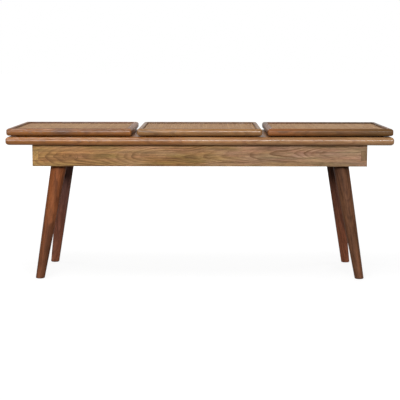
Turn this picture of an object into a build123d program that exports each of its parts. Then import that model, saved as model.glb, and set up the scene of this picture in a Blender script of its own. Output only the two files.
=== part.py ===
from build123d import *
import os

# Hall bench: a finger-jointed box on four splayed legs carries a bullnosed top frame, and three
# cane lids hinge at the back over shallow compartments. Millimetres, +Z up, front towards -Y.
# The origin is on the floor under the middle of the top.

# Top frame
top_length = 1146.5
top_depth = 380.0
top_thickness = 24.7
top_edge_radius = 11.0
corner_round = 5.0
cross_rail_width = 56.0
well_ledge = 6.0
tenon_length = 20.0
tenon_thickness = 8.5
tenon_shoulder = 12.0

# Box under the top
end_overhang = 75.25
front_overhang = 27.0
box_height = 64.5
board_thickness = 18.0
finger_height = 18.0
board_edge_round = 1.5
panel_thickness = 9.0
panel_groove_depth = 6.0
divider_thickness = 12.0
divider_housing = 5.0
dowel_diameter = 8.0
dowel_length = 30.0
dowel_end_inset = 83.0

# Legs and their fixing
leg_height = 341.5
leg_top_inset_x = 72.0
leg_top_inset_y = 57.0
front_leg_splay = 57.0
back_leg_splay = 49.0
leg_splay_y = 38.0
leg_top_diameter = 47.5
foot_diameter = 26.5
foot_round = 3.0
cleat_width = 108.0
cleat_thickness = 22.0
bolt_diameter = 8.0
bolt_in_leg = 45.0
bolt_in_cleat = 16.0
bolt_chamfer = 1.0
insert_diameter = 12.0
insert_length = 17.0
cleat_screw_spacing_x = 64.0
cleat_screw_spacing_y = 80.0
cleat_screw_head = 8.0
cleat_screw_shank = 4.0
cleat_screw_length = 27.0

# Lids
lid_thickness = 21.5
lid_end_inset = 2.4
lid_edge_inset = 3.0
lid_spacing = 16.0
lid_edge_radius = 8.5
lid_rail_face = 15.0
lid_rail_arris = 1.5
panel_ledge = 23.0
cane_recess = 4.5
cane_thickness = 2.0
backing_thickness = 6.0
bumper_diameter = 10.0
bumper_inset = 30.0

# Butt hinges
hinge_setback = 7.7
hinge_end_inset = 75.0
hinge_length = 50.0
leaf_depth = 22.0
leaf_thickness = 1.2
leaf_corner = 3.0
knuckle_count = 5
knuckle_diameter = 6.0
pin_diameter = 3.0
pin_head_diameter = 4.6
pin_head_thickness = 1.2
hinge_screw_spread = 32.0
hinge_screw_setback = 15.0
hinge_screw_head = 5.4
hinge_screw_shank = 3.0
hinge_screw_length = 9.0

# Clearances
joint_clearance = 0.1
panel_clearance = 0.3
hardware_clearance = 0.05
knuckle_gap = 0.3
knuckle_relief = 0.5
leaf_gap = 0.4
bumper_clearance = 0.2

# Heights
box_bottom = leg_height
box_top = box_bottom + box_height
top_surface = box_top + top_thickness
lid_gap = 2 * leaf_thickness + leaf_gap
lid_bottom = top_surface + lid_gap
ledge_height = lid_thickness - cane_recess - cane_thickness - backing_thickness

# Plan sizes of the box and of the wells in the top
box_length = top_length - 2 * end_overhang
box_depth = top_depth - 2 * front_overhang
box_inner_length = box_length - 2 * board_thickness
box_inner_depth = box_depth - 2 * board_thickness
well_end_x = box_inner_length / 2 - well_ledge
well_edge_y = box_inner_depth / 2 - well_ledge
board_mid_x = (box_length - board_thickness) / 2
board_mid_y = (box_depth - board_thickness) / 2
panel_bottom = box_bottom + cleat_thickness
panel_top = panel_bottom + panel_thickness

# Plan sizes of the lids
lid_width = (top_length - 2 * lid_end_inset - 2 * lid_spacing) / 3
lid_depth = top_depth - 2 * lid_edge_inset
lid_pitch = lid_width + lid_spacing
lid_places = {"left": -lid_pitch, "middle": 0.0, "right": lid_pitch}
cross_rail_x = lid_pitch / 2
recess_width = lid_width - 2 * lid_rail_face
recess_depth = lid_depth - 2 * lid_rail_face

# Hinge line, midway between the top and the lids
hinge_y = top_depth / 2 - hinge_setback
hinge_z = top_surface + lid_gap / 2
hinge_offset_x = lid_width / 2 - hinge_end_inset
knuckle_pitch = hinge_length / knuckle_count
hinge_screw_y = hinge_y - hinge_screw_setback

# Leg axes
leg_top_x = box_length / 2 - leg_top_inset_x
leg_top_y = box_depth / 2 - leg_top_inset_y
cleat_x = (box_inner_length - cleat_width) / 2
sides = {"left": -1, "right": 1}
ends = {"front": -1, "back": 1}
on_base = (Align.CENTER, Align.CENTER, Align.MIN)

os.makedirs("parts", exist_ok=True)


def write_piece(piece, label):
    """Name a finished piece and write its STEP file."""
    piece.part.label = label
    export_step(piece.part, f"parts/{label}.step")


def bullnose_blank(length, depth, thickness, edge_radius, bottom):
    """A flat board with a rounded edge along each side, meeting in mitres at lightly rounded corners."""
    middle = bottom + thickness / 2
    with BuildPart() as blank:
        with BuildSketch(Plane.XY.offset(bottom)):
            RectangleRounded(length, depth, corner_round)
        extrude(amount=thickness)
        with BuildSketch(Plane.YZ):
            with Locations((0, middle)):
                RectangleRounded(depth, thickness, edge_radius)
        extrude(amount=length / 2, both=True, mode=Mode.INTERSECT)
        with BuildSketch(Plane.XZ):
            with Locations((0, middle)):
                RectangleRounded(length, thickness, edge_radius)
        extrude(amount=depth / 2, both=True, mode=Mode.INTERSECT)
    return blank.part


def screw_body(head_diameter, shank_diameter, length, grow=0.0):
    """A countersunk screw pointing down from the origin; grow makes the hole that it sits in."""
    head_radius = head_diameter / 2 + grow
    shank_radius = shank_diameter / 2 + grow
    with BuildPart() as screw:
        with BuildSketch(Plane.XZ):
            with BuildLine():
                Polyline(
                    (0, 0),
                    (head_radius, 0),
                    (shank_radius, shank_radius - head_radius),
                    (shank_radius, shank_radius - length),
                    (0, -length - grow),
                    close=True,
                )
            make_face()
        revolve(axis=Axis.Z)
    return screw.part


def hinge_line_rod(diameter, start, length, mode=Mode.ADD):
    """A round bar on the hinge line, in the part that is being built."""
    with Locations((start, hinge_y, hinge_z)):
        Cylinder(diameter / 2, length, rotation=(0, 90, 0), align=on_base, mode=mode)


def leg_slope(side, end):
    """The way from a leg's foot up to its top."""
    splay_x = front_leg_splay if end < 0 else back_leg_splay
    return Vector(-side * splay_x, -end * leg_splay_y, leg_height)


def leg_axis(side, end):
    """Plane at the top of a leg, square to its axis and facing up along it."""
    return Plane(origin=(side * leg_top_x, end * leg_top_y, leg_height), z_dir=leg_slope(side, end))


def hinge_places(lid_x):
    """Middles of a lid's two hinges."""
    return [lid_x - hinge_offset_x, lid_x + hinge_offset_x]


def dowel_set(diameter, length):
    """Round pins, half in the box and half in the top, in the part that is being built."""
    with Locations((0, 0, box_top)):
        with GridLocations(lid_pitch, 2 * board_mid_y, 3, 2):
            Cylinder(diameter / 2, length)
        with GridLocations(2 * board_mid_x, box_depth - 2 * dowel_end_inset, 2, 2):
            Cylinder(diameter / 2, length)


def cleat_screw_set(grow=0.0):
    """The screws that go up through both cleats, in the part that is being built."""
    with Locations(Location((0, 0, box_bottom), (180, 0, 0))):
        with GridLocations(2 * cleat_x, 0, 2, 1):
            with GridLocations(cleat_screw_spacing_x, cleat_screw_spacing_y, 2, 2):
                add(screw_body(cleat_screw_head, cleat_screw_shank, cleat_screw_length, grow))


all_hinges = [x for lid_x in lid_places.values() for x in hinge_places(lid_x)]
leg_axes = [leg_axis(side, end) for side in sides.values() for end in ends.values()]

# Holes that more than one piece shares

with BuildPart() as dowel_holes:
    dowel_set(dowel_diameter + 2 * hardware_clearance, dowel_length + 2 * joint_clearance)

with BuildPart() as knuckle_coves:
    cove_end = pin_head_thickness + knuckle_relief
    for hinge_x in all_hinges:
        cove_start = hinge_x - hinge_length / 2 - cove_end
        hinge_line_rod(knuckle_diameter + 2 * knuckle_relief, cove_start, hinge_length + 2 * cove_end)

screw_spots = [
    (hinge_x + shift, hinge_screw_y)
    for hinge_x in all_hinges
    for shift in (-hinge_screw_spread / 2, hinge_screw_spread / 2)
]
hinge_screw_hole = screw_body(hinge_screw_head, hinge_screw_shank, hinge_screw_length, hardware_clearance)
frame_screw_z = top_surface + leaf_thickness
lid_screw_z = lid_bottom - leaf_thickness

with BuildPart() as frame_screw_holes:
    with Locations(*[Location((x, y, frame_screw_z)) for x, y in screw_spots]):
        add(hinge_screw_hole)

with BuildPart() as lid_screw_holes:
    with Locations(*[Location((x, y, lid_screw_z), (180, 0, 0)) for x, y in screw_spots]):
        add(hinge_screw_hole)

with BuildPart() as tenon_mortises:
    with Locations((0, 0, box_top + top_thickness / 2)):
        mortise_reach = 2 * (well_edge_y + tenon_length + joint_clearance)
        mortise_height = tenon_thickness + 2 * joint_clearance
        end_tenon_width = top_length / 2 - well_end_x - 2 * tenon_shoulder
        end_tenon_x = (top_length / 2 + well_end_x) / 2
        cross_tenon_width = cross_rail_width - 2 * tenon_shoulder
        with GridLocations(2 * end_tenon_x, 0, 2, 1):
            Box(end_tenon_width + 2 * joint_clearance, mortise_reach, mortise_height)
        with GridLocations(2 * cross_rail_x, 0, 2, 1):
            Box(cross_tenon_width + 2 * joint_clearance, mortise_reach, mortise_height)

# Top frame: front and back rails run the full length

top_blank = bullnose_blank(top_length, top_depth, top_thickness, top_edge_radius, box_top)

for name, end in ends.items():
    with BuildPart() as top_rail:
        add(top_blank)
        split(bisect_by=Plane((0, end * well_edge_y, 0), z_dir=(0, end, 0)), keep=Keep.TOP)
        add(tenon_mortises.part, mode=Mode.SUBTRACT)
        add(dowel_holes.part, mode=Mode.SUBTRACT)
        if name == "back":
            add(knuckle_coves.part, mode=Mode.SUBTRACT)
            add(frame_screw_holes.part, mode=Mode.SUBTRACT)
    write_piece(top_rail, f"top_{name}_rail")

# Top frame: end rails and cross rails are tenoned between them

for name, side in sides.items():
    with BuildPart() as end_rail:
        add(top_blank)
        split(bisect_by=Plane((side * well_end_x, 0, 0), z_dir=(side, 0, 0)), keep=Keep.TOP)
        for end in ends.values():
            split(bisect_by=Plane((0, end * well_edge_y, 0), z_dir=(0, end, 0)), keep=Keep.BOTTOM)
        with Locations((side * end_tenon_x, 0, box_top + top_thickness / 2)):
            Box(end_tenon_width, 2 * (well_edge_y + tenon_length), tenon_thickness)
        add(dowel_holes.part, mode=Mode.SUBTRACT)
    write_piece(end_rail, f"top_end_rail_{name}")

    with BuildPart() as cross_rail:
        with Locations((side * cross_rail_x, 0, box_top + top_thickness / 2)):
            Box(cross_rail_width, 2 * well_edge_y, top_thickness)
            Box(cross_tenon_width, 2 * (well_edge_y + tenon_length), tenon_thickness)
    write_piece(cross_rail, f"top_cross_rail_{name}")

# Box: the middle finger of each corner is on the end board

finger_middle = box_height - 2 * finger_height
finger_mid_z = box_bottom + box_height / 2
panel_length = box_inner_length + 2 * panel_groove_depth
panel_depth = box_inner_depth + 2 * panel_groove_depth
divider_length = box_inner_depth + 2 * divider_housing

with BuildPart() as box_pockets:
    with Locations((0, 0, panel_bottom)):
        Box(
            panel_length + 2 * panel_clearance,
            panel_depth + 2 * panel_clearance,
            panel_thickness,
            align=on_base,
        )
    with Locations((0, 0, panel_top)):
        with GridLocations(2 * cross_rail_x, 0, 2, 1):
            Box(
                divider_thickness + 2 * joint_clearance,
                divider_length + 2 * joint_clearance,
                box_top - panel_top,
                align=on_base,
            )

for name, end in ends.items():
    with BuildPart() as long_board:
        with BuildSketch(Plane.XY.offset(box_bottom)):
            with Locations((0, end * board_mid_y)):
                Rectangle(box_length, board_thickness)
        extrude(amount=box_height)
        outer_face = long_board.faces().filter_by(Axis.Y).sort_by(Axis.Y)[0 if end < 0 else -1]
        lower_edges = long_board.faces().sort_by(Axis.Z)[0].edges().sort_by(Axis.Y)
        outer_lower_edges = lower_edges[:3] if end < 0 else lower_edges[1:]
        fillet(outer_face.edges().filter_by(Axis.Z) + outer_lower_edges, board_edge_round)
        with Locations((0, end * board_mid_y, finger_mid_z)):
            with GridLocations(2 * board_mid_x, 0, 2, 1):
                Box(
                    board_thickness + 2 * joint_clearance,
                    board_thickness,
                    finger_middle + 2 * joint_clearance,
                    mode=Mode.SUBTRACT,
                )
        add(box_pockets.part, mode=Mode.SUBTRACT)
        add(dowel_holes.part, mode=Mode.SUBTRACT)
    write_piece(long_board, f"box_{name}_board")

for name, side in sides.items():
    with BuildPart() as end_board:
        with BuildSketch(Plane.XY.offset(box_bottom)):
            with Locations((side * board_mid_x, 0)):
                Rectangle(board_thickness, box_depth)
        extrude(amount=box_height)
        outer_face = end_board.faces().filter_by(Axis.X).sort_by(Axis.X)[0 if side < 0 else -1]
        fillet(outer_face.edges().sort_by(Axis.Z)[:3], board_edge_round)
        with Locations((side * board_mid_x, 0, finger_mid_z)):
            with GridLocations(0, 2 * board_mid_y, 1, 2):
                for level in (-1, 1):
                    with Locations((0, 0, level * (finger_middle + finger_height) / 2)):
                        Box(
                            board_thickness,
                            board_thickness,
                            finger_height,
                            mode=Mode.SUBTRACT,
                        )
        add(box_pockets.part, mode=Mode.SUBTRACT)
        add(dowel_holes.part, mode=Mode.SUBTRACT)
    write_piece(end_board, f"box_end_board_{name}")

    with BuildPart() as divider:
        with Locations((side * cross_rail_x, 0, panel_top)):
            Box(
                divider_thickness,
                divider_length,
                box_top - panel_top,
                align=on_base,
            )
    write_piece(divider, f"box_divider_{name}")

# Leg cleats under the bottom panel, with inserts for the leg bolts

with BuildPart() as cleat_screw_holes:
    cleat_screw_set(grow=hardware_clearance)

with BuildPart() as bottom_panel:
    with Locations((0, 0, panel_bottom)):
        Box(
            panel_length,
            panel_depth,
            panel_thickness,
            align=on_base,
        )
    add(cleat_screw_holes.part, mode=Mode.SUBTRACT)
write_piece(bottom_panel, "box_bottom_panel")

with BuildPart() as insert_holes:
    for axis in leg_axes:
        with BuildSketch(axis.offset(-insert_diameter)):
            Circle(insert_diameter / 2 + hardware_clearance)
        extrude(amount=insert_diameter + insert_length + hardware_clearance)

for name, side in sides.items():
    with BuildPart() as cleat:
        with Locations((side * cleat_x, 0, box_bottom)):
            Box(
                cleat_width,
                box_inner_depth,
                cleat_thickness,
                align=on_base,
            )
        add(insert_holes.part, mode=Mode.SUBTRACT)
        add(cleat_screw_holes.part, mode=Mode.SUBTRACT)
    write_piece(cleat, f"leg_cleat_{name}")

with BuildPart() as cleat_screws:
    cleat_screw_set()
write_piece(cleat_screws, "cleat_screws")

with BuildPart() as leg_inserts:
    for axis in leg_axes:
        with BuildSketch(axis.offset(-insert_diameter)):
            Circle(insert_diameter / 2)
            Circle(bolt_diameter / 2 + hardware_clearance, mode=Mode.SUBTRACT)
        extrude(amount=insert_diameter + insert_length)
    split(bisect_by=Plane.XY.offset(box_bottom), keep=Keep.TOP)
write_piece(leg_inserts, "leg_inserts")

with BuildPart() as leg_bolts:
    for axis in leg_axes:
        with BuildSketch(axis.offset(-bolt_in_leg)):
            Circle(bolt_diameter / 2)
        extrude(amount=bolt_in_leg + bolt_in_cleat)
    chamfer(leg_bolts.edges().filter_by(GeomType.CIRCLE), bolt_chamfer)
write_piece(leg_bolts, "leg_bolts")

# Legs: round tapers, sawn level at the box and at the floor

saw_allowance = leg_top_diameter / 2

for side_name, side in sides.items():
    for end_name, end in ends.items():
        axis = leg_axis(side, end)
        axis_length = leg_slope(side, end).length
        taper = (leg_top_diameter - foot_diameter) / 2 / axis_length
        with BuildPart() as leg:
            with BuildSketch(axis.offset(saw_allowance)):
                Circle(leg_top_diameter / 2 + saw_allowance * taper)
            with BuildSketch(axis.offset(-axis_length - saw_allowance)):
                Circle(foot_diameter / 2 - saw_allowance * taper)
            loft()
            split(bisect_by=Plane.XY.offset(box_bottom), keep=Keep.BOTTOM)
            split(bisect_by=Plane.XY, keep=Keep.TOP)
            fillet(leg.faces().sort_by(Axis.Z)[0].edges(), foot_round)
            with Locations(axis.offset(saw_allowance)):
                Hole(bolt_diameter / 2 + hardware_clearance, saw_allowance + bolt_in_leg + hardware_clearance)
        write_piece(leg, f"leg_{end_name}_{side_name}")

# Dowels between the box and the top

with BuildPart() as top_dowels:
    dowel_set(dowel_diameter, dowel_length)
write_piece(top_dowels, "top_dowels")

# Hinges


def hinge_leaves(lid_x, plate_bottom, own_knuckles, screw_holes):
    """The two leaves on one side of a lid's hinge pair, with their share of the knuckles."""
    with BuildPart() as leaves:
        with BuildSketch(Plane.XY.offset(plate_bottom)) as plates:
            with Locations(*[(x, hinge_y - leaf_depth / 2) for x in hinge_places(lid_x)]):
                Rectangle(hinge_length, leaf_depth)
            fillet(plates.vertices().group_by(Axis.Y)[0], leaf_corner)
        extrude(amount=leaf_thickness)
        for hinge_x in hinge_places(lid_x):
            hinge_start = hinge_x - hinge_length / 2
            for knuckle in range(knuckle_count):
                start = hinge_start + knuckle * knuckle_pitch
                if knuckle not in own_knuckles:
                    clear_diameter = knuckle_diameter + 2 * knuckle_gap
                    hinge_line_rod(clear_diameter, start, knuckle_pitch, mode=Mode.SUBTRACT)
            for knuckle in own_knuckles:
                start = hinge_start + knuckle * knuckle_pitch + knuckle_gap / 2
                hinge_line_rod(knuckle_diameter, start, knuckle_pitch - knuckle_gap)
            bore_diameter = pin_diameter + 2 * hardware_clearance
            hinge_line_rod(bore_diameter, hinge_start, hinge_length, mode=Mode.SUBTRACT)
        add(screw_holes, mode=Mode.SUBTRACT)
    return leaves


frame_knuckles = range(0, knuckle_count, 2)
lid_knuckles = range(1, knuckle_count, 2)

for name, lid_x in lid_places.items():
    frame_leaves = hinge_leaves(lid_x, top_surface, frame_knuckles, frame_screw_holes.part)
    write_piece(frame_leaves, f"hinge_frame_leaves_{name}")

    lid_leaves = hinge_leaves(lid_x, lid_bottom - leaf_thickness, lid_knuckles, lid_screw_holes.part)
    write_piece(lid_leaves, f"lid_{name}_hinge_leaves")

    with BuildPart() as pins:
        for hinge_x in hinge_places(lid_x):
            pin_start = hinge_x - hinge_length / 2
            hinge_line_rod(pin_diameter, pin_start, hinge_length)
            hinge_line_rod(pin_head_diameter, pin_start - pin_head_thickness, pin_head_thickness)
            hinge_line_rod(pin_head_diameter, pin_start + hinge_length, pin_head_thickness)
    write_piece(pins, f"hinge_pins_{name}")

hinge_screw = screw_body(hinge_screw_head, hinge_screw_shank, hinge_screw_length)

with BuildPart() as frame_screws:
    with Locations(*[Location((x, y, frame_screw_z)) for x, y in screw_spots]):
        add(hinge_screw)
write_piece(frame_screws, "hinge_frame_screws")

# Lids: mitred frames, each with a cane panel let in on a ledge

for name, lid_x in lid_places.items():
    with BuildPart() as lid_frame:
        with Locations((lid_x, 0, 0)):
            add(bullnose_blank(lid_width, lid_depth, lid_thickness, lid_edge_radius, lid_bottom))
        with Locations((lid_x, 0, lid_bottom)):
            Box(
                recess_width - 2 * panel_ledge,
                recess_depth - 2 * panel_ledge,
                lid_thickness,
                align=on_base,
                mode=Mode.SUBTRACT,
            )
        with Locations((lid_x, 0, lid_bottom + ledge_height)):
            Box(
                recess_width,
                recess_depth,
                lid_thickness,
                align=on_base,
                mode=Mode.SUBTRACT,
            )

    # Each mitre runs at 45 degrees from an outer corner of the lid
    corners = {
        (side, end): Vector(lid_x + side * lid_width / 2, end * lid_depth / 2)
        for side in sides.values()
        for end in ends.values()
    }
    for end_name, end in ends.items():
        with BuildPart() as lid_rail:
            add(lid_frame.part)
            for side in sides.values():
                mitre = Plane(corners[side, end], z_dir=(-side, end, 0))
                split(bisect_by=mitre, keep=Keep.TOP)
            top_edges = lid_rail.edges().filter_by(Axis.X).group_by(Axis.Z)[-1]
            fillet(top_edges.sort_by(Axis.Y)[-1 if end < 0 else 0], lid_rail_arris)
            if end_name == "back":
                add(knuckle_coves.part, mode=Mode.SUBTRACT)
                add(lid_screw_holes.part, mode=Mode.SUBTRACT)
        write_piece(lid_rail, f"lid_{name}_{end_name}_rail")

    for side_name, side in sides.items():
        with BuildPart() as lid_stile:
            add(lid_frame.part)
            for end in ends.values():
                mitre = Plane(corners[side, end], z_dir=(side, -end, 0))
                split(bisect_by=mitre, keep=Keep.TOP)
            top_edges = lid_stile.edges().filter_by(Axis.Y).group_by(Axis.Z)[-1]
            fillet(top_edges.sort_by(Axis.X)[-1 if side < 0 else 0], lid_rail_arris)
        write_piece(lid_stile, f"lid_{name}_{side_name}_stile")

    board_width = recess_width - 2 * panel_clearance
    board_depth = recess_depth - 2 * panel_clearance
    with BuildPart() as backing_board:
        with Locations((lid_x, 0, lid_bottom + ledge_height)):
            Box(board_width, board_depth, backing_thickness, align=on_base)
    write_piece(backing_board, f"lid_{name}_backing_board")

    with BuildPart() as cane_panel:
        with Locations((lid_x, 0, lid_bottom + ledge_height + backing_thickness)):
            Box(board_width, board_depth, cane_thickness, align=on_base)
    write_piece(cane_panel, f"lid_{name}_cane_panel")

    bumper_thickness = lid_gap - bumper_clearance
    with BuildPart() as bumpers:
        with Locations((lid_x, bumper_inset - lid_depth / 2, lid_bottom - bumper_thickness / 2)):
            with GridLocations(lid_width - 2 * bumper_inset, 0, 2, 1):
                Cylinder(bumper_diameter / 2, bumper_thickness)
    write_piece(bumpers, f"lid_{name}_bumpers")

    lid_hinges = hinge_places(lid_x)
    with BuildPart() as lid_screws:
        with Locations(*[Location((x, hinge_screw_y, lid_screw_z), (180, 0, 0)) for x in lid_hinges]):
            with GridLocations(hinge_screw_spread, 0, 2, 1):
                add(hinge_screw)
    write_piece(lid_screws, f"lid_{name}_hinge_screws")
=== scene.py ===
# %% [markdown]
# # A three-lid bench with cane seats
# The bench is solid wood: a shallow finger-jointed box on four turned legs, a rounded top frame over it, and
# three hinged lids with woven cane set into mitred frames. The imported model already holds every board, hinge
# and screw in its place, so this lesson dresses those pieces: it gives the boards real grain, weaves the
# cane, cuts the screw heads, and lights the whole in a plain white studio.

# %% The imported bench
import math
import random

import bpy
from mathutils import Euler, Matrix, Vector


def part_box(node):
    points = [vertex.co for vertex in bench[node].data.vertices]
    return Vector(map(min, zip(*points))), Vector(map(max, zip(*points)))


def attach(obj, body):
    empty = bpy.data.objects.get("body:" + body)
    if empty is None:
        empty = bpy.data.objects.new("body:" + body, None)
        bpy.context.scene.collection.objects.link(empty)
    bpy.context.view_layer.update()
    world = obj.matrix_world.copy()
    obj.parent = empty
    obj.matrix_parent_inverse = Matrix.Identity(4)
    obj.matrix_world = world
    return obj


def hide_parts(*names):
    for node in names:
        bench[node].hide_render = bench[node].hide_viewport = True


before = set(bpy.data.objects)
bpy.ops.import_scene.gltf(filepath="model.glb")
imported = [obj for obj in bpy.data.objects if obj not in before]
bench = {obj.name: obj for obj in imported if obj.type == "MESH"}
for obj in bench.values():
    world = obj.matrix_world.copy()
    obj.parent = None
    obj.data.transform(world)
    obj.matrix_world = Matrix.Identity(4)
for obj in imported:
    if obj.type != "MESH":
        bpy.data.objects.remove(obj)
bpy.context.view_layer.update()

# %% [markdown]
# ## Helpers for node trees
# Every finish below is a node tree. Placing nodes one by one in the editor would do the same, but in a script
# it is easier to read when one line makes a node, sets its values and joins its inputs. `place` does that,
# and the others are its short forms for the nodes used most: Math, Vector Math, Combine and Separate XYZ,
# Mix, Map Range and Noise.


# %% Node helpers
def place(tree, kind, inputs=None, **settings):
    """A new node; inputs by name or number are values, or sockets to be joined."""
    made = tree.nodes.new(kind)
    for name, value in settings.items():
        setattr(made, name, value)
    for name, value in (inputs or {}).items():
        if isinstance(value, bpy.types.NodeSocket):
            tree.links.new(value, made.inputs[name])
        else:
            made.inputs[name].default_value = value
    return made


def sum_up(tree, operation, *values):
    """One Math node's result."""
    return place(tree, "ShaderNodeMath", dict(enumerate(values)), operation=operation).outputs[0]


def vector_sum(tree, operation, *values, scale=None, result=0):
    """One Vector Math node's result; only the operation SCALE takes a scale."""
    inputs = dict(enumerate(values))
    if scale is not None:
        inputs["Scale"] = scale
    return place(tree, "ShaderNodeVectorMath", inputs, operation=operation).outputs[result]


def vector(tree, x=0.0, y=0.0, z=0.0):
    """A vector put together from three numbers."""
    return place(tree, "ShaderNodeCombineXYZ", {0: x, 1: y, 2: z}).outputs[0]


def parts(tree, whole):
    """The three numbers of a vector."""
    return place(tree, "ShaderNodeSeparateXYZ", {0: whole}).outputs


# %% Mixing and noise
def blend(tree, amount, first, second):
    """One colour Mix node's result; its colours are sockets 6 and 7."""
    inputs = {0: amount, 6: first, 7: second}
    return place(tree, "ShaderNodeMix", inputs, data_type="RGBA", clamp_factor=True).outputs[2]


def ease(tree, value, low, high, start=0.0, end=1.0):
    """A value taken smoothly from low..high to start..end."""
    inputs = {"Value": value, "From Min": low, "From Max": high, "To Min": start, "To Max": end}
    return place(tree, "ShaderNodeMapRange", inputs, interpolation_type="SMOOTHSTEP").outputs[0]


def clouds(tree, spot, stretch, detail=2.0, roughness=0.5):
    """Noise over coordinates that are first stretched; its value and its colour."""
    stretched = vector_sum(tree, "MULTIPLY", spot, stretch)
    inputs = {"Vector": stretched, "Scale": 1.0, "Detail": detail, "Roughness": roughness}
    made = place(tree, "ShaderNodeTexNoise", inputs)
    return made.outputs[0], made.outputs[1]


# %% Groups and colours
def new_group(name, kind, inputs, outputs):
    """An empty node group with named sockets; its tree, its input node and its output node."""
    tree = bpy.data.node_groups.new(name, kind)
    for label, sort, value in inputs:
        socket = tree.interface.new_socket(label, in_out="INPUT", socket_type="NodeSocket" + sort)
        if value is not None:
            socket.default_value = value
    for label, sort in outputs:
        tree.interface.new_socket(label, in_out="OUTPUT", socket_type="NodeSocket" + sort)
    return tree, tree.nodes.new("NodeGroupInput"), tree.nodes.new("NodeGroupOutput")


def colour(code):
    """A paint-shop colour code as the linear colour that shaders use."""
    shares = [int(code[i : i + 2], 16) / 255 for i in (0, 2, 4)]
    return tuple(c / 12.92 if c <= 0.04045 else ((c + 0.055) / 1.055) ** 2.4 for c in shares) + (1.0,)


print("mid grey in linear light:", round(colour("808080")[0], 3))

# %% [markdown]
# ## The camera
# The bench is seen from the front, a little above the seat and from well back, so a long lens gives the
# slight spread of the legs and the thin sight of the cane. The camera could track an empty, but a fixed place
# and three angles are easier to read and to repeat.

# %% Camera
camera_place = Vector((0.021, -3.615, 0.666))
camera_pitch = math.radians(7.02)
camera_yaw = math.radians(0.33)
camera_roll = math.radians(0.05)
eye = bpy.data.cameras.new("camera")
eye.sensor_width = 36.0
eye.lens = 104.80
camera = bpy.data.objects.new("camera", eye)
aim = Euler((math.pi / 2 - camera_pitch, 0.0, camera_yaw)).to_matrix()
turn = aim @ Matrix.Rotation(camera_roll, 3, "Z")
camera.matrix_world = Matrix.Translation(camera_place) @ turn.to_4x4()
scene = bpy.context.scene
scene.collection.objects.link(camera)
scene.camera = camera
print("camera stands", round(camera_place.length, 2), "m from the bench's foot")

# %% [markdown]
# ## The white studio
# A product picture stands on white. Flooding the bench with light until the floor burns out would also bleach
# the wood, so the white belongs to the floor and the world: both glow at full strength for the camera and
# at about half of it in shiny faces, and the world gives the bench only a low, even light. Near the bench the
# floor's glow stops a little short of white and its paint makes up the rest, so the soft shadow stays.

# %% Studio levels
scene.view_settings.view_transform = "Standard"
white = (1.0, 1.0, 1.0, 1.0)
camera_light, mirror_light, world_light = 1.0, 0.46, 0.20
floor_glow, floor_paint = 0.85, 0.15
clear_from, clear_to = 1.2, 3.5
floor_reach = 40.0


def ray_level(tree, straight, mirrored, falling):
    """A light level for each kind of ray: from the camera, off a shiny face, and falling on the bench."""
    path = place(tree, "ShaderNodeLightPath").outputs
    shiny = sum_up(tree, "MAXIMUM", path["Is Glossy Ray"], path["Is Transmission Ray"])
    level = sum_up(tree, "MULTIPLY_ADD", path["Is Camera Ray"], straight - falling, falling)
    return sum_up(tree, "MULTIPLY_ADD", shiny, mirrored - falling, level)


# %% World
world = bpy.data.worlds.new("studio")
scene.world = world
world.use_nodes = True
tree = world.node_tree
sky = tree.nodes["Background"]
sky.inputs["Color"].default_value = white
tree.links.new(ray_level(tree, camera_light, mirror_light, world_light), sky.inputs["Strength"])
print("the world lights the bench at", world_light)

# %% Floor
floor_material = bpy.data.materials.new("studio_floor")
floor_material.use_nodes = True
tree = floor_material.node_tree
tree.nodes.clear()
paint = place(tree, "ShaderNodeBsdfDiffuse", {"Color": (floor_paint, floor_paint, floor_paint, 1.0)})
away = vector_sum(tree, "LENGTH", place(tree, "ShaderNodeTexCoord").outputs["Object"], result="Value")
nearness = ease(tree, away, clear_from, clear_to, floor_glow, 1.0)
strength = sum_up(tree, "MULTIPLY", ray_level(tree, camera_light, mirror_light, 0.0), nearness)
glow = place(tree, "ShaderNodeEmission", {"Strength": strength})
both = place(tree, "ShaderNodeAddShader", {0: paint.outputs[0], 1: glow.outputs[0]})
place(tree, "ShaderNodeOutputMaterial", {"Surface": both.outputs[0]})

floor_mesh = bpy.data.meshes.new("floor")
square = ((-1, -1), (1, -1), (1, 1), (-1, 1))
floor_mesh.from_pydata([(x * floor_reach, y * floor_reach, 0.0) for x, y in square], [], [(0, 1, 2, 3)])
floor_mesh.materials.append(floor_material)
floor = bpy.data.objects.new("floor", floor_mesh)
scene.collection.objects.link(floor)
print("the floor turns pure white", clear_to, "m from the bench")

# %% [markdown]
# ## Soft lights
# One wide light behind the camera shapes the legs and draws the bright line along the rounded edges, and a
# strip above adds a sheen to the lids. Four fill lights, overhead, behind and at both sides, keep the rest of
# the bench readable. They could be left to shine in the lacquer too, but that many bright shapes in it would
# hide the stain, so the fill lights are kept out of reflections.

# %% Lights
seat_centre = Vector((0.0, 0.0, 0.35))
studio_lights = {
    "front_light": ((-0.1, -4.6, 1.68), 3.9, 0.8, 218.0, True),
    "strip_light": ((-0.8, -0.9, 3.1), 1.8, 0.4, 34.0, True),
    "overhead_light": ((0.1, -0.3, 3.2), 2.6, 1.2, 16.0, False),
    "back_light": ((0.6, 4.2, 2.0), 2.8, 1.4, 110.0, False),
    "left_light": ((-3.6, 1.6, 1.6), 1.8, 1.2, 38.0, False),
    "right_light": ((3.6, 1.6, 1.6), 1.8, 1.2, 38.0, False),
}
for name, (stand, width, height, watts, mirrored) in studio_lights.items():
    lamp = bpy.data.lights.new(name, "AREA")
    lamp.shape = "RECTANGLE"
    lamp.size, lamp.size_y, lamp.energy = width, height, watts
    light = bpy.data.objects.new(name, lamp)
    look = (Vector(stand) - seat_centre).to_track_quat("Z", "Y")
    light.matrix_world = Matrix.Translation(stand) @ look.to_matrix().to_4x4()
    light.visible_glossy = mirrored
    scene.collection.objects.link(light)
print("lights:", list(studio_lights))

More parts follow.
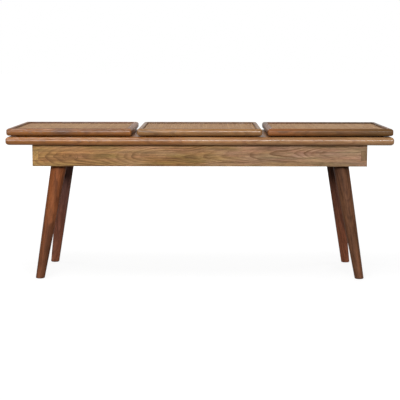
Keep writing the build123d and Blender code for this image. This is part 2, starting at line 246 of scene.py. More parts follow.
# %% [markdown]
# ## Rubbed edges
# Handled wood loses a little stain along its arrises, bare joints gather a dark line there, and handled brass
# is brighter. Painting such wear by hand would be slow on fifty pieces. The Bevel node looks a few
# millimetres around each point: where the softened normal leaves the true one, there is an edge, and that
# difference is the mask.

# %% Edge group
flat_likeness, edge_likeness = 0.995, 0.75
edge_inputs, edge_outputs = [("Reach", "Float", 0.002)], [("Mask", "Float")]
rubbed_edges, ins, outs = new_group("Rubbed edges", "ShaderNodeTree", edge_inputs, edge_outputs)
tree = rubbed_edges
softened = place(tree, "ShaderNodeBevel", {"Radius": ins.outputs["Reach"]}, samples=6).outputs[0]
facing = place(tree, "ShaderNodeNewGeometry").outputs["Normal"]
likeness = vector_sum(tree, "DOT_PRODUCT", softened, facing, result="Value")
tree.links.new(ease(tree, likeness, flat_likeness, edge_likeness), outs.inputs["Mask"])
print("edge group:", len(tree.nodes), "nodes")

# %% [markdown]
# ## Grain through a board
# Grain drawn on a face looks like wallpaper as soon as it turns a corner. A tree grows in shells around its
# heart, and a board is a cut through them, so this group works in the round: it measures how far a point lies
# from the heart of the log, and turns that distance into rings. The heart wanders and may lean away from the
# face. A face cut along the log then shows arches and ovals, its edge shows lines and its end shows arcs, and
# all of them meet.

# %% Grain inputs
board_grain, ins, outs = new_group(
    "Board grain",
    "ShaderNodeTree",
    [
        ("Vector", "Vector", None),
        ("Grain", "Vector", (1.0, 0.0, 0.0)),
        ("Log", "Float", 0.0),
        ("Start Colour", "Color", None),
        ("End Colour", "Color", None),
        ("Late Colour", "Color", None),
        ("Edge Colour", "Color", None),
        ("Edge Amount", "Float", 0.3),
        ("Edge Reach", "Float", 0.0022),
        ("Half Length", "Float", 0.5),
        ("Ring Spacing", "Float", 0.006),
        ("Wander", "Float", 0.03),
        ("Lean", "Float", 0.0),
        ("Contrast", "Float", 0.6),
        ("Mottle", "Float", 1.0),
        ("Tint", "Float", 0.1),
        ("Knot", "Vector", (9.0, 9.0, 9.0)),
        ("Knot Size", "Float", 0.012),
        ("Sheen", "Float", 0.4),
        ("Inner Side", "Vector", (0.0, 0.0, 0.0)),
    ],
    [("Colour", "Color"), ("Roughness", "Float"), ("Height", "Float")],
)
tree, log = board_grain, ins.outputs
print("a board is set by:", ", ".join(socket.name for socket in log if socket.name))

# %% Heart and knot
# How often each noise repeats in a metre, along the log and across it
heart_noise, ripple_noise, fade_noise = (4.2, 8.0, 8.0), (14.0, 70.0, 70.0), (5.0, 18.0, 18.0)
streak_noise, fleck_noise, pore_noise = (5.0, 190.0, 190.0), (45.0, 420.0, 420.0), (150.0, 1900.0, 1900.0)
tone_noise, hue_noise = (6.0, 26.0, 26.0), (9.0, 60.0, 60.0)
mid_noise = (0.5, 0.5, 0.5)

roam = vector_sum(tree, "ADD", log["Vector"], vector(tree, log["Log"]))
wandering = vector_sum(tree, "SUBTRACT", clouds(tree, roam, heart_noise, detail=1.0)[1], mid_noise)
drift = vector_sum(tree, "SCALE", wandering, scale=log["Wander"])
strayed = parts(tree, vector_sum(tree, "ADD", log["Vector"], drift))
depth = sum_up(tree, "MULTIPLY_ADD", strayed[0], log["Lean"], strayed[2])
from_heart = vector_sum(tree, "LENGTH", vector(tree, 0.0, strayed[1], depth), result="Value")

# A knot is an oval swelling that the rings pass round, with a dark middle.
knot_shape = (0.5, 1.0, 0.2)
to_knot = vector_sum(tree, "SUBTRACT", log["Vector"], log["Knot"])
oval = vector_sum(tree, "LENGTH", vector_sum(tree, "MULTIPLY", to_knot, knot_shape), result="Value")
knot_sizes = sum_up(tree, "DIVIDE", oval, log["Knot Size"])
swelling = ease(tree, knot_sizes, 2.8, 0.0)
knot_middle = ease(tree, knot_sizes, 0.85, 0.2)
print("heart and knot:", len(tree.nodes), "nodes so far")

# %% [markdown]
# ## Rings
# Each year a tree adds a pale early band that darkens into a thin late line, sharp on its outer side. A wave
# texture would give rings too, but all alike. Here the count of years is a plain number: its fraction is the
# season, its whole part draws that year's luck, and a slow noise lets the lines fade out and come back.

# %% Rings
ripple_years, knot_years = 1.1, 4.0
weakest_year, year_range = 0.25, 0.75
years = sum_up(tree, "DIVIDE", from_heart, log["Ring Spacing"])
years = sum_up(tree, "MULTIPLY_ADD", clouds(tree, roam, ripple_noise)[0], ripple_years, years)
years = sum_up(tree, "MULTIPLY_ADD", swelling, knot_years, years)
season, year = sum_up(tree, "FRACT", years), sum_up(tree, "FLOOR", years)
darkening, stopping = ease(tree, season, 0.30, 0.88), ease(tree, season, 1.0, 0.93)
drawn = place(tree, "ShaderNodeTexWhiteNoise", {"W": year}, noise_dimensions="1D").outputs["Value"]
year_luck = sum_up(tree, "MULTIPLY_ADD", drawn, year_range, weakest_year)
fading = ease(tree, clouds(tree, roam, fade_noise, detail=1.0)[0], 0.30, 0.62, 0.25, 1.15)
late = sum_up(tree, "MULTIPLY", darkening, stopping)
late = sum_up(tree, "MULTIPLY", late, year_luck)
late = sum_up(tree, "MULTIPLY", late, fading)
print("rings:", len(tree.nodes), "nodes so far")

# %% [markdown]
# ## Fibres, stain, wear and painted shade
# Over the rings lie streaks and flecks along the fibres, slow clouds of tone and of hue, and open pores. The
# ground runs from a start colour to an end colour, because stain never takes evenly along a board. Cut ends
# drink more and turn darker, edges are rubbed, and walls that face into a frame are darkened with painted
# shade. One mix after the other keeps each of these effects easy to find and to change.

# %% Board colour
# Nearly all of a noise's values lie in its range, and most of them in its core
noise_range, noise_core = (0.25, 0.75), (0.3, 0.7)
tone_shift = 1.4
streaks = clouds(tree, roam, streak_noise, detail=4.0, roughness=0.62)[0]
tone = clouds(tree, roam, tone_noise, detail=3.0, roughness=0.55)[0]
flecks = clouds(tree, roam, fleck_noise, roughness=0.6)[0]
along = sum_up(tree, "DIVIDE", parts(tree, log["Vector"])[0], log["Half Length"])
share = sum_up(tree, "MULTIPLY_ADD", along, 0.5, 0.5)
share = sum_up(tree, "ADD", share, sum_up(tree, "MULTIPLY_ADD", tone, tone_shift, -tone_shift / 2))
ground = blend(tree, ease(tree, share, 0.0, 1.0), log["Start Colour"], log["End Colour"])

shade = ease(tree, streaks, *noise_range, -0.20, 0.18)
shade = sum_up(tree, "ADD", shade, ease(tree, tone, *noise_range, -0.16, 0.14))
shade = sum_up(tree, "ADD", shade, ease(tree, flecks, *noise_range, -0.14, 0.12))
shade = sum_up(tree, "MULTIPLY_ADD", shade, log["Mottle"], 1.0)
hues = vector_sum(tree, "SUBTRACT", clouds(tree, roam, hue_noise)[1], mid_noise)
hues = vector_sum(tree, "SCALE", hues, scale=log["Tint"])
tinted = vector_sum(tree, "MULTIPLY", ground, vector_sum(tree, "ADD", hues, white[:3]))
shaded = vector_sum(tree, "SCALE", tinted, scale=shade)
print("board colour:", len(tree.nodes), "nodes so far")

# %% Rings, pores and wear over the colour
pore_share, knot_share, end_share, recess_shade_share = 0.5, 0.6, 0.35, 0.6
dark = vector_sum(tree, "SCALE", log["Late Colour"], scale=0.5)
pores = ease(tree, clouds(tree, roam, pore_noise, detail=1.0)[0], 0.60, 0.70)
ringed = blend(tree, sum_up(tree, "MULTIPLY", late, log["Contrast"]), shaded, log["Late Colour"])
pored = blend(tree, sum_up(tree, "MULTIPLY", pores, pore_share), ringed, dark)
knotted = blend(tree, sum_up(tree, "MULTIPLY", knot_middle, knot_share), pored, log["Late Colour"])

facing = place(tree, "ShaderNodeNewGeometry").outputs["True Normal"]
end_on = sum_up(tree, "ABSOLUTE", vector_sum(tree, "DOT_PRODUCT", facing, log["Grain"], result="Value"))
ended = blend(tree, ease(tree, end_on, 0.75, 0.97, 0.0, end_share), knotted, log["Late Colour"])
edge = place(tree, "ShaderNodeGroup", {"Reach": log["Edge Reach"]}, node_tree=rubbed_edges)
worn = sum_up(tree, "MULTIPLY", edge.outputs["Mask"], log["Edge Amount"])
rubbed = blend(tree, worn, ended, log["Edge Colour"])
# Painted shade: walls that face into a lid frame are darkened toward the dark colour
inward = vector_sum(tree, "DOT_PRODUCT", facing, log["Inner Side"], result="Value")
painted_recess_shade = ease(tree, inward, 0.3, 0.8, 0.0, recess_shade_share)
tree.links.new(blend(tree, painted_recess_shade, rubbed, dark), outs.inputs["Colour"])
print("wear:", len(tree.nodes), "nodes so far")

# %% Sheen and relief
late_sunk, pore_sunk, streak_raised = -0.25, -0.6, 0.35
pore_dulling = 0.12
roughness = sum_up(tree, "ADD", log["Sheen"], ease(tree, streaks, *noise_core, -0.05, 0.06))
roughness = sum_up(tree, "ADD", roughness, ease(tree, tone, *noise_core, 0.05, -0.05))
roughness = sum_up(tree, "MULTIPLY_ADD", pores, pore_dulling, roughness)
tree.links.new(roughness, outs.inputs["Roughness"])
height = sum_up(tree, "MULTIPLY_ADD", late, late_sunk, sum_up(tree, "MULTIPLY", streaks, streak_raised))
tree.links.new(sum_up(tree, "MULTIPLY_ADD", pores, pore_sunk, height), outs.inputs["Height"])
print("grain group:", len(tree.nodes), "nodes")

# %% [markdown]
# ## From log to board
# Each board comes from its own log, so each gets its own material: the same group with its own colours, its
# own turn of the grain and its own heart. A Mapping node lays the log along the board. The heart lies some
# way behind the face, which is how flat-sawn boards come off the saw, so the rings meet the face as arches.


# %% Material helpers
def finished(name):
    """A new material, its node tree and its shader."""
    made = bpy.data.materials.new(name)
    made.use_nodes = True
    return made, made.node_tree, made.node_tree.nodes["Principled BSDF"]


def add_relief(tree, shader, height, strength, reach):
    """Fine relief on a shader, from a height."""
    bump = place(tree, "ShaderNodeBump", {"Height": height, "Strength": strength, "Distance": reach})
    tree.links.new(bump.outputs[0], shader.inputs["Normal"])


def dress(node, material):
    """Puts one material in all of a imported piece's slots."""
    for slot in bench[node].material_slots:
        slot.link = "OBJECT"
        slot.material = material


# %% Sawing boards
luck = random.Random(41)
grain_relief = 0.0004


def board(
    node, grain, face, tones, gloss, heart=None, log=None, knot=None, bump=0.35, edge_colour=None, **finish
):
    """Saws a board from its own log, with the heart behind its face, and dresses the node with it."""
    drawn_heart = (0.0, luck.uniform(-0.015, 0.015), luck.uniform(0.025, 0.05))
    drawn_log = luck.uniform(-40.0, 40.0)
    heart = Vector(heart or drawn_heart)
    low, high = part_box(node)
    centre, half = (low + high) / 2, (high - low) / 2
    run = Vector(grain).normalized()
    across = Vector(face).cross(run).normalized()
    lay = Matrix((run, across, run.cross(across)))

    made, tree, shader = finished(node)
    spot = place(tree, "ShaderNodeTexCoord").outputs["Object"]
    turned_log = {"Vector": spot, "Rotation": lay.to_euler(), "Location": heart - lay @ centre}
    values = {"Vector": place(tree, "ShaderNodeMapping", turned_log).outputs[0]}
    values |= zip(("Start Colour", "End Colour", "Late Colour"), map(colour, tones))
    values["Edge Colour"] = colour(edge_colour or tones[0])
    values["Half Length"] = max(abs(h * g) for h, g in zip(half, run))
    values["Log"] = drawn_log if log is None else log
    values["Grain"] = run
    if knot:
        values["Knot"] = lay @ (Vector(knot) - centre) + heart
    values |= {label.replace("_", " ").title(): value for label, value in finish.items()}
    sawn = place(tree, "ShaderNodeGroup", values, node_tree=board_grain).outputs
    tree.links.new(sawn["Colour"], shader.inputs["Base Color"])
    tree.links.new(sawn["Roughness"], shader.inputs["Roughness"])
    add_relief(tree, shader, sawn["Height"], bump, grain_relief)
    shader.inputs["Specular IOR Level"].default_value = gloss
    dress(node, made)


# %% [markdown]
# ## The stained top and lids
# The top frame and the lid frames are stained chestnut and lacquered to a satin sheen: warm orange on the
# top, browner on the lids, and never quite the same from board to board. The long rails run with the bench
# and the end rails and stiles run from front to back, which the mitres show. The left lid has a dark stain
# round a knot, and the right lid's front is duller than the others.

# %% Top boards
UP = (0, 0, 1)
FRONT = (0, -1, 0)
BACK = (0, 1, 0)
LEFT = (-1, 0, 0)
RIGHT = (1, 0, 0)
LENGTHWISE = (1, 0, 0)
DEPTHWISE = (0, 1, 0)
satin = {"gloss": 0.44, "sheen": 0.21, "ring_spacing": 0.0042, "wander": 0.06, "contrast": 0.5}
satin["edge_amount"] = 0.12
polished = satin | {"gloss": 0.6, "sheen": 0.26}
top_tones, top_edge = ("945c28", "946e49", "623818"), "b98658"

for node in ("top_front_rail", "top_back_rail"):
    board(node, LENGTHWISE, FRONT, top_tones, edge_colour=top_edge, **satin)
for node in ("top_end_rail_left", "top_end_rail_right", "top_cross_rail_left", "top_cross_rail_right"):
    board(node, DEPTHWISE, UP, top_tones, edge_colour=top_edge, **polished)
print("top boards stained", top_tones)

# %% Lid boards
lid_edge = "a87850"
lid_tones = {
    "left": ("7c4b1e", "8b541c", "4c2c16"),
    "middle": ("8a6136", "896035", "50331d"),
    "right": ("854f27", "5f4120", "3f2714"),
}
rail_marks = {
    "lid_left_front_rail": {"knot": (-0.404, -0.187, 0.449), "knot_size": 0.026},
    "lid_right_front_rail": {"gloss": 0.22, "sheen": 0.40},
}
# The wall of each lid board that faces into its frame gets painted shade
for lid, tones in lid_tones.items():
    for end, inner in (("front", BACK), ("back", FRONT)):
        node = f"lid_{lid}_{end}_rail"
        lacquer = satin | rail_marks.get(node, {})
        board(node, LENGTHWISE, FRONT, tones, inner_side=inner, edge_colour=lid_edge, **lacquer)
    for side, inner in (("left", RIGHT), ("right", LEFT)):
        node = f"lid_{lid}_{side}_stile"
        board(node, DEPTHWISE, UP, tones, inner_side=inner, edge_colour=lid_edge, **polished)
print("lid boards stained", lid_tones)

# %% [markdown]
# ## The natural box
# The box boards are left near their natural colour: olive-tan at the left, greyer and pinker at the right,
# with long open arches and a small knot. They have only a thin clear lacquer, so they are duller than the
# top, and their joints and arrises have gathered a fine dark line. The wood inside is plain and bare.

# %% Box boards
thin_lacquer = {"gloss": 0.1, "sheen": 0.55, "ring_spacing": 0.0024, "wander": 0.02, "contrast": 0.88}
thin_lacquer |= {"tint": 0.42, "bump": 0.45, "mottle": 1.7}
thin_lacquer |= {"edge_colour": "5e4630", "edge_amount": 0.5, "edge_reach": 0.003}
natural = ("9e7746", "99795e", "66472f")
left_end, right_end = ("c0945a", "b68a54", "8a6640"), ("8c7054", "8a6e53", "70553c")
flat_sawn = {"heart": (0, 0, 0.045), "lean": -0.055}
front_log = {"log": 18.9, "knot": (-0.385, -0.163, 0.3725), "knot_size": 0.005}
board("box_front_board", LENGTHWISE, FRONT, natural, **flat_sawn, **front_log, **thin_lacquer)
board("box_back_board", LENGTHWISE, BACK, natural, **flat_sawn, **thin_lacquer)
board("box_end_board_left", DEPTHWISE, LEFT, left_end, **thin_lacquer)
board("box_end_board_right", DEPTHWISE, RIGHT, right_end, **thin_lacquer)
print("box boards left natural", natural)

# %% Inner boards
bare = {"gloss": 0.25, "sheen": 0.6, "ring_spacing": 0.0046, "wander": 0.09, "contrast": 0.35}
bare |= {"bump": 0.3, "edge_colour": "7c6040", "edge_amount": 0.3}
plain_wood, backing_wood = ("a98a60", "a4865f", "7c6040"), ("957449", "8f6f48", "684e33")
for node in ("box_divider_left", "box_divider_right", "leg_cleat_left", "leg_cleat_right"):
    board(node, DEPTHWISE, UP, plain_wood, **bare)
board("box_bottom_panel", LENGTHWISE, UP, plain_wood, **bare)
board("top_dowels", UP, FRONT, plain_wood, **bare)
for lid in lid_tones:
    board(f"lid_{lid}_backing_board", DEPTHWISE, UP, backing_wood, **bare)
print("inner boards left bare", plain_wood)

# %% [markdown]
# ## The turned legs
# The legs are the darkest wood, a red chestnut on the left pair and a browner one on the right. The back legs
# darken toward their heads with painted shadow of the box, and the front right leg has painted shade, drawn as
# a dark knot, at the inner corner of its head. Their grain has to follow the slope of each leg, so the log is
# laid along the line from the leg's foot to its head.

# %% Legs
# The box round a leg is as wide as the leg's lean and its own mean width together
leg_width = 0.037
leg_tones_and_shade = {
    "leg_front_left": ("6a412b", "814a2a", "40251a"),
    # The front right leg's very dark late colour deepens the painted shade of its knot
    "leg_front_right": ("6c4832", "694631", "2a1a15"),
    # The back legs' end colours, at their heads, are painted shadow of the box
    "leg_back_left": ("824e38", "64443d", "3a231b"),
    "leg_back_right": ("8a5239", "3c2a24", "2c1d18"),
}
turned = {"gloss": 0.08, "sheen": 0.55, "ring_spacing": 0.0044, "wander": 0.05, "contrast": 0.55}
turned |= {"edge_amount": 0.1, "mottle": 1.5}
# Painted shade at the head of the front right leg, drawn as a dark knot
leg_shade_knots = {"leg_front_right": {"knot": (0.401, -0.125, 0.326), "knot_size": 0.026}}
for node, tones in leg_tones_and_shade.items():
    low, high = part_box(node)
    rise = high - low - Vector((leg_width, leg_width, 0.0))
    inwards = Vector((1 if "left" in node else -1, 1 if "front" in node else -1, 1))
    slope = rise * inwards
    board(node, slope, FRONT, tones, **leg_shade_knots.get(node, {}), **turned)
    print(node, "leans", round(math.degrees(slope.angle(Vector(UP))), 1), "degrees")

# %% [markdown]
# ## Weaving the cane
# The seats are flat cane in plain weave: each strand goes over one and under the next. A bump map on a flat
# panel would do from far away, but at a low angle the light catches the real rise and fall of the strands,
# so they are modelled. One strand is a flattened tube bent to a cosine. Geometry Nodes lay it side by side
# across the panel, rolling every second one over so that its hills become valleys, and the same again the
# other way round. Each strand gets its own tint, and each point how near it lies to its strand's side. Both
# travel to the material as attributes.


# %% One strand
def remember(tree, geometry, name, value, domain):
    """Stores a number on a mesh or on instances, for the material to read."""
    inputs = {"Geometry": geometry, "Name": name, "Value": value}
    kind = "GeometryNodeStoreNamedAttribute"
    return place(tree, kind, inputs, data_type="FLOAT", domain=domain).outputs[0]


def joined(tree, *pieces):
    """Several meshes as one."""
    made = place(tree, "GeometryNodeJoinGeometry")
    for piece in pieces:
        tree.links.new(piece, made.inputs[0])
    return made.outputs[0]


def bent_strand(tree, sizes, length, crossings):
    """One flat strand along Y, high at one crossing and low at the next."""
    bends = sum_up(tree, "MULTIPLY", crossings, sizes["Steps"])
    section = {"Vertices": 6, "Radius": 0.5, "Side Segments": bends, "Depth": length}
    tube = place(tree, "GeometryNodeMeshCylinder", section).outputs["Mesh"]
    flat = vector(tree, sizes["Strand Width"], sizes["Strand Thickness"], 1.0)
    laid = {"Geometry": tube, "Rotation": (math.pi / 2, 0.0, 0.0), "Scale": flat}
    lying = place(tree, "GeometryNodeTransform", laid).outputs[0]

    across, run, _ = parts(tree, place(tree, "GeometryNodeInputPosition").outputs[0])
    half_width = sum_up(tree, "MULTIPLY", sizes["Strand Width"], 0.5)
    near_side = sum_up(tree, "DIVIDE", sum_up(tree, "ABSOLUTE", across), half_width)
    marked = remember(tree, lying, "near_side", near_side, "POINT")

    gap = sum_up(tree, "DIVIDE", length, crossings)
    first_crossing = sum_up(tree, "MULTIPLY", sum_up(tree, "SUBTRACT", length, gap), 0.5)
    passed = sum_up(tree, "DIVIDE", sum_up(tree, "ADD", run, first_crossing), gap)
    wave = sum_up(tree, "COSINE", sum_up(tree, "MULTIPLY", passed, math.pi))
    lift = vector(tree, 0.0, 0.0, sum_up(tree, "MULTIPLY", wave, sizes["Rise"]))
    return place(tree, "GeometryNodeSetPosition", {"Geometry": marked, "Offset": lift}).outputs[0]


# %% One family of strands
def strand_family(tree, sizes, length, spread, crosswise):
    """Strands along Y, side by side over spread, every second one rolled over; crosswise is 0 or 1."""
    crossings = sum_up(tree, "ROUND", sum_up(tree, "DIVIDE", length, sizes["Pitch"]))
    count = sum_up(tree, "ROUND", sum_up(tree, "DIVIDE", spread, sizes["Pitch"]))
    step = sum_up(tree, "DIVIDE", spread, count)
    first = sum_up(tree, "MULTIPLY", sum_up(tree, "SUBTRACT", step, spread), 0.5)
    line = {"Count": count, "Start Location": vector(tree, first), "Offset": vector(tree, step)}
    row = place(tree, "GeometryNodeMeshLine", line).outputs[0]

    number = place(tree, "GeometryNodeInputIndex").outputs[0]
    half_turns = sum_up(tree, "ADD", sum_up(tree, "MODULO", number, 2.0), crosswise)
    roll = vector(tree, 0.0, sum_up(tree, "MULTIPLY", half_turns, math.pi))
    strand = bent_strand(tree, sizes, length, crossings)
    laid = {"Points": row, "Instance": strand, "Rotation": roll}
    strands = place(tree, "GeometryNodeInstanceOnPoints", laid).outputs[0]

    draw = {"ID": number, "Seed": sum_up(tree, "ADD", sizes["Seed"], crosswise)}
    tint = place(tree, "FunctionNodeRandomValue", draw, data_type="FLOAT").outputs[1]
    tinted = remember(tree, strands, "tint", tint, "INSTANCE")
    return remember(tree, tinted, "crosswise", crosswise, "INSTANCE")


# %% Weave tree
cane_sizes = {"Pitch": 0.0078, "Strand Width": 0.0064, "Strand Thickness": 0.00085, "Rise": 0.00048}
mesh_out = [("Geometry", "Geometry")]
weave_inputs = [("Geometry", "Geometry", None), ("Width", "Float", None), ("Depth", "Float", None)]
weave_inputs += [(label, "Float", size) for label, size in cane_sizes.items()]
weave_inputs += [("Steps", "Int", None), ("Seed", "Int", None)]
weave_inputs += [("Centre", "Vector", None), ("Finish", "Material", None)]
weave, ins, outs = new_group("Cane weave", "GeometryNodeTree", weave_inputs, mesh_out)
sizes = ins.outputs
warp = strand_family(weave, sizes, sizes["Depth"], sizes["Width"], 0.0)
weft = strand_family(weave, sizes, sizes["Width"], sizes["Depth"], 1.0)
quarter_turn = {"Geometry": weft, "Rotation": (0.0, 0.0, math.pi / 2)}
cloth = joined(weave, warp, place(weave, "GeometryNodeTransform", quarter_turn).outputs[0])
moved = place(weave, "GeometryNodeTransform", {"Geometry": cloth, "Translation": sizes["Centre"]}).outputs[0]
real = place(weave, "GeometryNodeRealizeInstances", {"Geometry": moved}).outputs[0]
smooth = place(weave, "GeometryNodeSetShadeSmooth", {"Geometry": real}).outputs[0]
painted = place(weave, "GeometryNodeSetMaterial", {"Geometry": smooth, "Material": sizes["Finish"]})
weave.links.new(painted.outputs[0], outs.inputs[0])
print("weave tree:", len(weave.nodes), "nodes")

# %% [markdown]
# ## Cane colour
# Cane is a hard, slightly shiny peel with fine fibres along each strand, pale where it is fresh and
# toffee-brown where it has aged. The fibres follow the strand, so the material swaps its two directions for
# the crosswise strands. Each strand darkens toward its sides with painted shade between the strands.


# %% Cane material
def stored(tree, name):
    """A number that the mesh remembers."""
    return place(tree, "ShaderNodeAttribute", attribute_name=name).outputs["Fac"]


cane_material, tree, shader = finished("woven_cane")
fresh_cane, second_cane, aged_cane = colour("a58564"), colour("937358"), colour("76573c")
fibre_noise, blotch_noise, tint_step = (25.0, 2600.0, 1.0), (30.0, 40.0, 1.0), 9.0
fibre_relief = 0.0002
x, y, _ = parts(tree, place(tree, "ShaderNodeTexCoord").outputs["Object"])
tint, swapped = stored(tree, "tint"), stored(tree, "crosswise")
straight = sum_up(tree, "SUBTRACT", 1.0, swapped)
run = sum_up(tree, "MULTIPLY_ADD", x, swapped, sum_up(tree, "MULTIPLY", y, straight))
side = sum_up(tree, "MULTIPLY_ADD", y, swapped, sum_up(tree, "MULTIPLY", x, straight))
strand = vector(tree, run, side, sum_up(tree, "MULTIPLY", tint, tint_step))
fibres = clouds(tree, strand, fibre_noise, detail=3.0, roughness=0.6)[0]
blotch = clouds(tree, strand, blotch_noise)[0]
fresh = blend(tree, ease(tree, tint, 0.0, 1.0), fresh_cane, second_cane)
aged = blend(tree, ease(tree, blotch, 0.5, 0.75), fresh, aged_cane)
fibre_shade = ease(tree, fibres, *noise_core, 0.84, 1.16)
# Painted shade: each strand darkens toward its sides
painted_side_shade = ease(tree, stored(tree, "near_side"), 0.6, 1.0, 1.04, 0.5)
shade = sum_up(tree, "MULTIPLY", fibre_shade, painted_side_shade)
tree.links.new(vector_sum(tree, "SCALE", aged, scale=shade), shader.inputs["Base Color"])
tree.links.new(ease(tree, fibres, *noise_core, 0.68, 0.55), shader.inputs["Roughness"])
add_relief(tree, shader, fibres, 0.3, fibre_relief)
shader.inputs["Specular IOR Level"].default_value = 0.15
print("cane material:", len(tree.nodes), "nodes")


# %% Growing meshes
def grown(name, seeds, group, values, body):
    """Runs a geometry tree over some seed points and leaves a plain mesh that rides on a body."""
    mesh = bpy.data.meshes.new(name + "_seeds")
    mesh.from_pydata(seeds, [], [])
    seedling = bpy.data.objects.new(name + "_seeds", mesh)
    scene.collection.objects.link(seedling)
    grow = seedling.modifiers.new("grow", "NODES")
    grow.node_group = group
    keys = {item.name: item.identifier for item in group.interface.items_tree if item.in_out == "INPUT"}
    for label, value in values.items():
        grow[keys[label]] = value
    view = bpy.context.evaluated_depsgraph_get()
    plain = bpy.data.meshes.new_from_object(seedling.evaluated_get(view))
    plain.name = name
    bpy.data.objects.remove(seedling)
    made = bpy.data.objects.new(name, plain)
    scene.collection.objects.link(made)
    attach(made, body)
    plain.calc_loop_triangles()
    print(name, "has", len(plain.loop_triangles), "triangles")
    return made


# %% Weaving the seats
steps_per_crossing, seed_step = 4, 10
for number, lid in enumerate(lid_tones):
    node = f"lid_{lid}_cane_panel"
    low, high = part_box(node)
    panel = {"Width": high.x - low.x, "Depth": high.y - low.y, "Centre": tuple((low + high) / 2)}
    panel |= {"Steps": steps_per_crossing, "Seed": number * seed_step, "Finish": cane_material}
    cane = grown(f"lid_{lid}_cane", [(0, 0, 0)], weave, cane_sizes | panel, f"lid_{lid}")
    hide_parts(node)

# %% [markdown]
# ## Brass, steel and felt
# The butt hinges are solid brass that has dulled to a warm brown and stays bright on its rubbed edges. The
# screws that hold the cleats, and the bolts inside the legs, are zinc-plated steel. Small felt dots keep the
# lids from knocking. One function makes both metals, because they differ only in colour and wear.


# %% Metals
haze_noise, scratch_noise = (130.0, 130.0, 130.0), (90.0, 2400.0, 900.0)
bright_reach, scratch_relief = 0.0006, 0.0001


def metal(name, bright, dull, rough, wear):
    """A metal that has dulled in clouds and is rubbed bright on its edges."""
    made, tree, shader = finished(name)
    spot = place(tree, "ShaderNodeTexCoord").outputs["Object"]
    haze = clouds(tree, spot, haze_noise, detail=4.0, roughness=0.6)[0]
    scratch = clouds(tree, spot, scratch_noise)[0]
    edge = place(tree, "ShaderNodeGroup", {"Reach": bright_reach}, node_tree=rubbed_edges).outputs[0]
    dulled = sum_up(tree, "SUBTRACT", ease(tree, haze, 0.35, 0.7), sum_up(tree, "MULTIPLY", edge, wear))
    tone = blend(tree, sum_up(tree, "MAXIMUM", dulled, 0.0), colour(bright), colour(dull))
    tree.links.new(tone, shader.inputs["Base Color"])
    hazy = ease(tree, haze, *noise_core, -0.06, 0.12)
    scratched = ease(tree, scratch, *noise_core, -0.05, 0.05)
    uneven = sum_up(tree, "ADD", hazy, scratched)
    tree.links.new(sum_up(tree, "ADD", uneven, rough), shader.inputs["Roughness"])
    add_relief(tree, shader, scratch, 0.15, scratch_relief)
    shader.inputs["Metallic"].default_value = 1.0
    return made


brass = metal("dulled_brass", "c9a35c", "8a6a38", rough=0.34, wear=0.8)
steel = metal("zinc_steel", "c4c4c0", "8e8f8e", rough=0.38, wear=0.6)
hinge_pieces = ("hinge_frame_leaves", "hinge_pins", "_hinge_leaves")
brass_nodes = [node for node in bench if any(piece in node for piece in hinge_pieces)]
for node in brass_nodes:
    dress(node, brass)
for node in ("leg_bolts", "leg_inserts"):
    dress(node, steel)
print("brass:", brass_nodes)

# %% Felt
felt, tree, shader = finished("felt_dots")
fuzz_noise, fuzz_relief = (1800.0, 1800.0, 1800.0), 0.0005
dark_felt, pale_felt = colour("3a2c22"), colour("6a5442")
spot = place(tree, "ShaderNodeTexCoord").outputs["Object"]
fuzz = clouds(tree, spot, fuzz_noise, detail=3.0, roughness=0.7)[0]
fuzzy = blend(tree, ease(tree, fuzz, *noise_core), dark_felt, pale_felt)
tree.links.new(fuzzy, shader.inputs["Base Color"])
tree.links.new(ease(tree, fuzz, *noise_core, 0.88, 1.0), shader.inputs["Roughness"])
add_relief(tree, shader, fuzz, 0.8, fuzz_relief)
shader.inputs["Sheen Weight"].default_value = 0.3
for lid in lid_tones:
    dress(f"lid_{lid}_bumpers", felt)
print("felt on", len(lid_tones), "pairs of bumpers")

# %% [markdown]
# ## Screw heads
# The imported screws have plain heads. A real one has a cross cut into it, and no two stop at the same turn.
# Geometry Nodes build one screw from a cone and a cylinder, cut the cross with a boolean, and set it at every
# point with a turn drawn from a fixed seed. The heads in the lids and cleats look down, so those are tipped
# over.

# %% One screw
round_sides, loose_fit, bar_reach = 24, 0.98, 1.25
screw_sizes = ["Head Diameter", "Head Height", "Shank Diameter", "Length"]
screw_sizes += ["Cross Width", "Cross Depth", "Tip Over"]
screw_inputs = [("Geometry", "Geometry", None)] + [(label, "Float", None) for label in screw_sizes]
screw_inputs += [("Seed", "Int", None), ("Finish", "Material", None)]
screws, ins, outs = new_group("Cross-head screws", "GeometryNodeTree", screw_inputs, mesh_out)
sizes = ins.outputs
head_radius = sum_up(screws, "MULTIPLY", sizes["Head Diameter"], 0.5)
shank_radius = sum_up(screws, "MULTIPLY", sizes["Shank Diameter"], 0.5)
taper = {"Vertices": round_sides, "Radius Top": head_radius, "Radius Bottom": shank_radius}
cone = place(screws, "GeometryNodeMeshCone", taper | {"Depth": sizes["Head Height"]}).outputs["Mesh"]
sunk = vector(screws, 0.0, 0.0, sum_up(screws, "MULTIPLY", sizes["Head Height"], -1.0))
head = place(screws, "GeometryNodeTransform", {"Geometry": cone, "Translation": sunk}).outputs[0]

rod = {"Vertices": round_sides, "Radius": sum_up(screws, "MULTIPLY", shank_radius, loose_fit)}
shank = place(screws, "GeometryNodeMeshCylinder", rod | {"Depth": sizes["Length"]}).outputs["Mesh"]
half_way = sum_up(screws, "MULTIPLY", sizes["Length"], -0.5)
under = vector(screws, 0.0, 0.0, sum_up(screws, "SUBTRACT", half_way, sizes["Cross Depth"]))
body = place(screws, "GeometryNodeTransform", {"Geometry": shank, "Translation": under}).outputs[0]

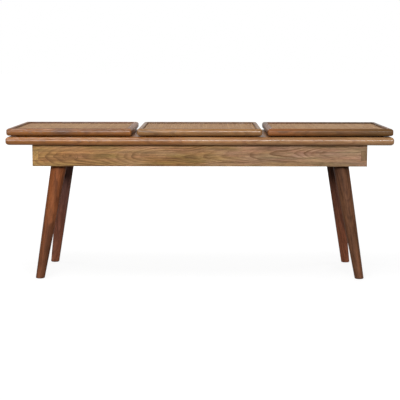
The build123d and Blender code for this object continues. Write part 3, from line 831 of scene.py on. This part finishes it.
arm = sum_up(screws, "MULTIPLY", head_radius, bar_reach)
deep = sum_up(screws, "MULTIPLY", sizes["Cross Depth"], 2.0)
cut = place(screws, "GeometryNodeMeshBoolean", {"Mesh 1": head}, operation="DIFFERENCE", solver="EXACT")
for bar in ((arm, sizes["Cross Width"], deep), (sizes["Cross Width"], arm, deep)):
    block = place(screws, "GeometryNodeMeshCube", {"Size": vector(screws, *bar)}).outputs["Mesh"]
    screws.links.new(block, cut.inputs["Mesh 2"])
one_screw = joined(screws, cut.outputs["Mesh"], body)
print("one screw:", len(screws.nodes), "nodes")

# %% A screw at every point
# Sockets 2 and 3 of Random Value are its least and greatest number
draw = {2: 0.0, 3: 2 * math.pi, "Seed": sizes["Seed"]}
stop = place(screws, "FunctionNodeRandomValue", draw, data_type="FLOAT").outputs[1]
stance = vector(screws, sum_up(screws, "MULTIPLY", sizes["Tip Over"], math.pi), 0.0, stop)
driven = {"Points": sizes["Geometry"], "Instance": one_screw, "Rotation": stance}
rows = place(screws, "GeometryNodeInstanceOnPoints", driven).outputs[0]
real = place(screws, "GeometryNodeRealizeInstances", {"Geometry": rows}).outputs[0]
painted = place(screws, "GeometryNodeSetMaterial", {"Geometry": real, "Material": sizes["Finish"]})
screws.links.new(painted.outputs[0], outs.inputs[0])
print("screw tree:", len(screws.nodes), "nodes")

# %% Hinge screws
screw_spread = 0.032
hinge_screw = {"Head Diameter": 0.0054, "Head Height": 0.0012, "Shank Diameter": 0.003, "Length": 0.0078}
hinge_screw |= {"Cross Width": 0.0007, "Cross Depth": 0.0008, "Finish": brass}
rim = hinge_screw["Head Diameter"] / 2
frame_heads = []
frame_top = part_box("hinge_frame_screws")[1].z
for number, lid in enumerate(lid_tones):
    node = f"lid_{lid}_hinge_screws"
    low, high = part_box(node)
    first, last, middle = low.x + rim, high.x - rim, (low.y + high.y) / 2
    columns = (first, first + screw_spread, last - screw_spread, last)
    tipped = hinge_screw | {"Tip Over": 1.0, "Seed": number}
    made = grown(f"lid_{lid}_screws", [(x, middle, low.z) for x in columns], screws, tipped, f"lid_{lid}")
    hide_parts(node)
    frame_heads += [(x, middle, frame_top) for x in columns]
upright = hinge_screw | {"Tip Over": 0.0, "Seed": 7}
made = grown("frame_screws", frame_heads, screws, upright, "carcass")
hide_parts("hinge_frame_screws")

# %% Cleat screws
cleat_screw = {"Head Diameter": 0.008, "Head Height": 0.002, "Shank Diameter": 0.004, "Length": 0.025}
cleat_screw |= {"Cross Width": 0.0011, "Cross Depth": 0.0014, "Tip Over": 1.0, "Seed": 8, "Finish": steel}
rim, row_spread = cleat_screw["Head Diameter"] / 2, 0.064
low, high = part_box("cleat_screws")
columns = (low.x + rim, low.x + rim + row_spread, high.x - rim - row_spread, high.x - rim)
cleat_heads = [(x, y, low.z) for x in columns for y in (low.y + rim, high.y - rim)]
made = grown("cleat_cross_screws", cleat_heads, screws, cleat_screw, "carcass")
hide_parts("cleat_screws")
